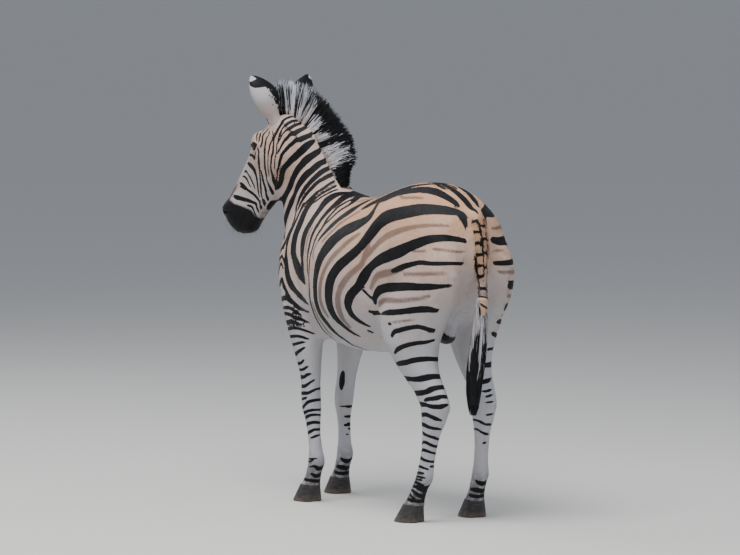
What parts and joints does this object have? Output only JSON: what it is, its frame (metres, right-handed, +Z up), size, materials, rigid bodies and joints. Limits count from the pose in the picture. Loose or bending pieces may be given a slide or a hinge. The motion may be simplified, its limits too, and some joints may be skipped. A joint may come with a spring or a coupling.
{
  "type": "plains zebra stallion",
  "caption": "Life-size plains zebra stallion standing square on four hooves, head turned a little to its left, upright mane and tufted tail.",
  "frame": {"origin": "on the ground under the middle of the whole animal's box, between the four hooves", "axes": "+Z up; the animal faces -Y and its left side is towards +X"},
  "size_m": [0.6102, 1.6344, 1.7315],
  "materials": {
    "coat": "short sleek hair, warm buff and white with blue-black stripes",
    "long_hair": "stiff matt hair, black and white by the stripes",
    "hoof": "grey-black horn, dusty",
    "eye": "wet, dark brown"
  },
  "bodies": {
    "root": {"head": "coat", "neck": "coat", "trunk": "coat", "ear_left": "coat", "ear_right": "coat", "eye_left": "eye", "eye_right": "eye", "mane": "long_hair", "tail_dock": "coat", "tail_hair": "long_hair", "foreleg_left_forearm": "coat", "foreleg_left_cannon": "coat", "foreleg_left_pastern": "coat", "foreleg_left_hoof": "hoof", "foreleg_right_forearm": "coat", "foreleg_right_cannon": "coat", "foreleg_right_pastern": "coat", "foreleg_right_hoof": "hoof", "hindleg_left_thigh": "coat", "hindleg_left_gaskin": "coat", "hindleg_left_cannon": "coat", "hindleg_left_pastern": "coat", "hindleg_left_hoof": "hoof", "hindleg_right_thigh": "coat", "hindleg_right_gaskin": "coat", "hindleg_right_cannon": "coat", "hindleg_right_pastern": "coat", "hindleg_right_hoof": "hoof"}
  },
  "joints": []
}
